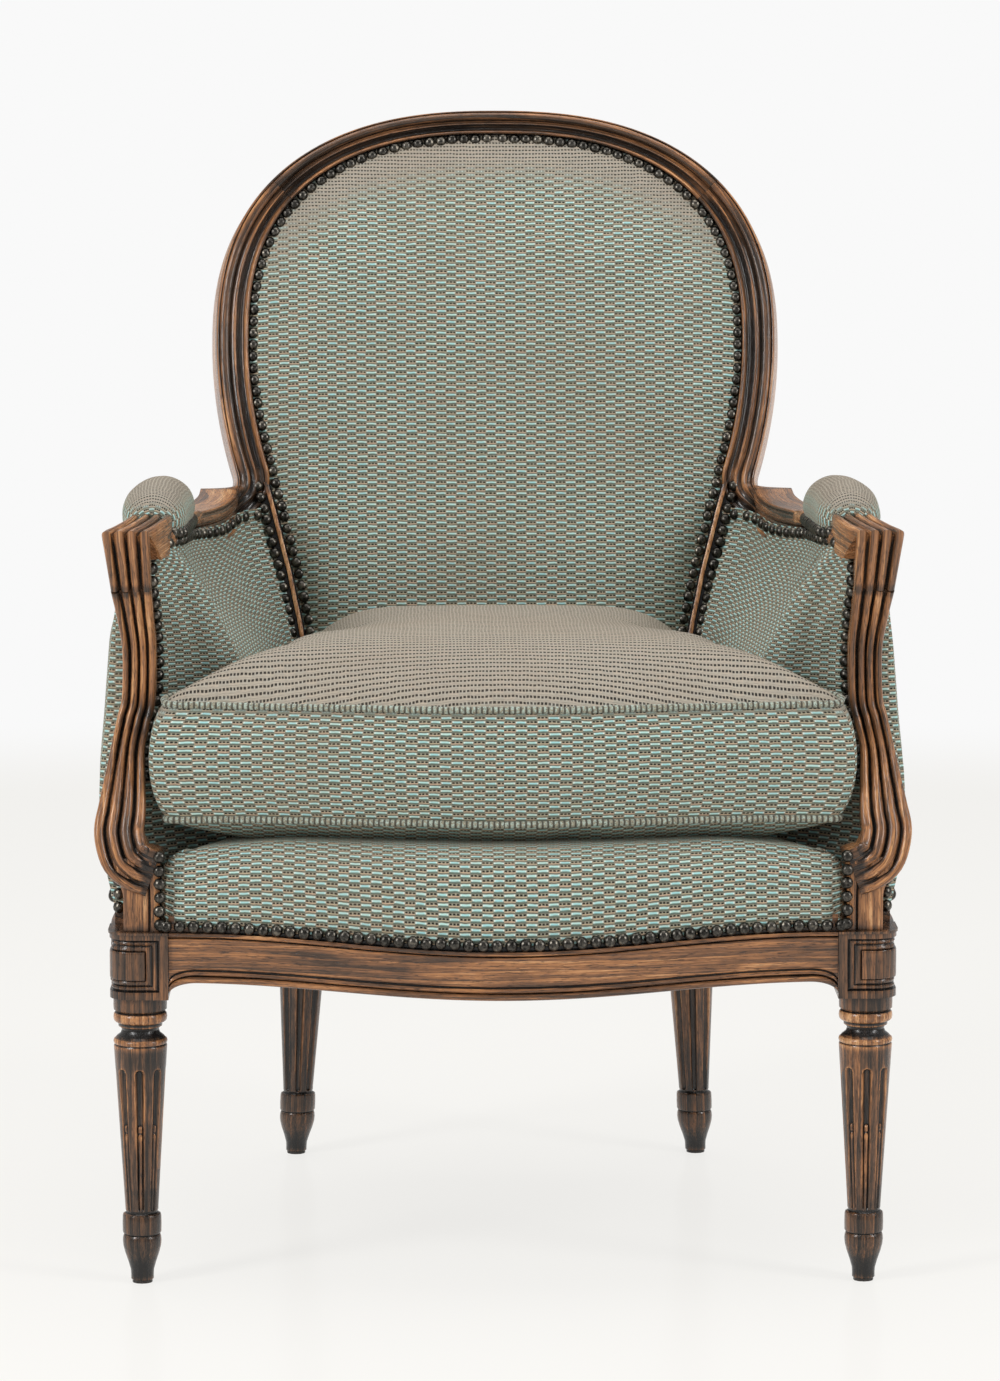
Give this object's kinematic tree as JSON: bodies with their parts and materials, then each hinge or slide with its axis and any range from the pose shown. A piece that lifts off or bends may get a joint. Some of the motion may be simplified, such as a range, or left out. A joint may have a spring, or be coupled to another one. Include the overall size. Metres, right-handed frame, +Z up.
{
  "type": "upholstered armchair",
  "caption": "Bergere armchair with a turned and moulded wooden frame, arched back, closed upholstered arms, arm pads and a loose seat cushion.",
  "frame": {"origin": "on the floor, under the middle of the chair's box", "axes": "+Z up, the chair faces -Y, and +X is to the right as seen from the front"},
  "size_m": [0.6862, 0.7058, 0.9728],
  "materials": {
    "wood": "dark stained beech, satin lacquer",
    "upholstery": "woven jacquard, aqua floats on taupe",
    "jute": "jute webbing",
    "cambric": "thin black woven dust cover",
    "spring_steel": "drawn wire",
    "nail": "antiqued domed upholstery nails",
    "glide": "moulded nail-on glide"
  },
  "bodies": {
    "chair": {"front_leg_right": "wood", "front_leg_left": "wood", "rear_post_right": "wood", "rear_post_left": "wood", "crest_rail": "wood", "armrest_right": "wood", "armrest_left": "wood", "arm_post_right": "wood", "arm_post_left": "wood", "front_rail": "wood", "side_rail_right": "wood", "side_rail_left": "wood", "rear_rail": "wood", "lower_back_rail": "wood", "front_brace_right": "wood", "front_brace_left": "wood", "rear_brace_right": "wood", "rear_brace_left": "wood", "seat_webbing": "jute", "dust_cover": "cambric", "seat_deck": "upholstery", "back_webbing": "jute", "back_pad": "upholstery", "back_outside": "upholstery", "arm_inside_right": "upholstery", "arm_inside_left": "upholstery", "arm_outside_right": "upholstery", "arm_outside_left": "upholstery", "manchette_right": "upholstery", "manchette_left": "upholstery", "front_glide_right": "glide", "front_glide_left": "glide", "rear_glide_right": "glide", "rear_glide_left": "glide", "spring_1_1": "spring_steel", "spring_1_2": "spring_steel", "spring_1_3": "spring_steel", "spring_2_1": "spring_steel", "spring_2_2": "spring_steel", "spring_2_3": "spring_steel", "spring_3_1": "spring_steel", "spring_3_2": "spring_steel", "spring_3_3": "spring_steel"},
    "cushion": {"seat_cushion": "upholstery", "welt_bottom": "upholstery", "welt_top": "upholstery"}
  },
  "joints": [
    {"name": "cushion_lift_off", "type": "slide", "parent": "chair", "child": "cushion", "axis": [0, -0.9781, 0.2079], "range_m": [0, 0.56]}
  ]
}
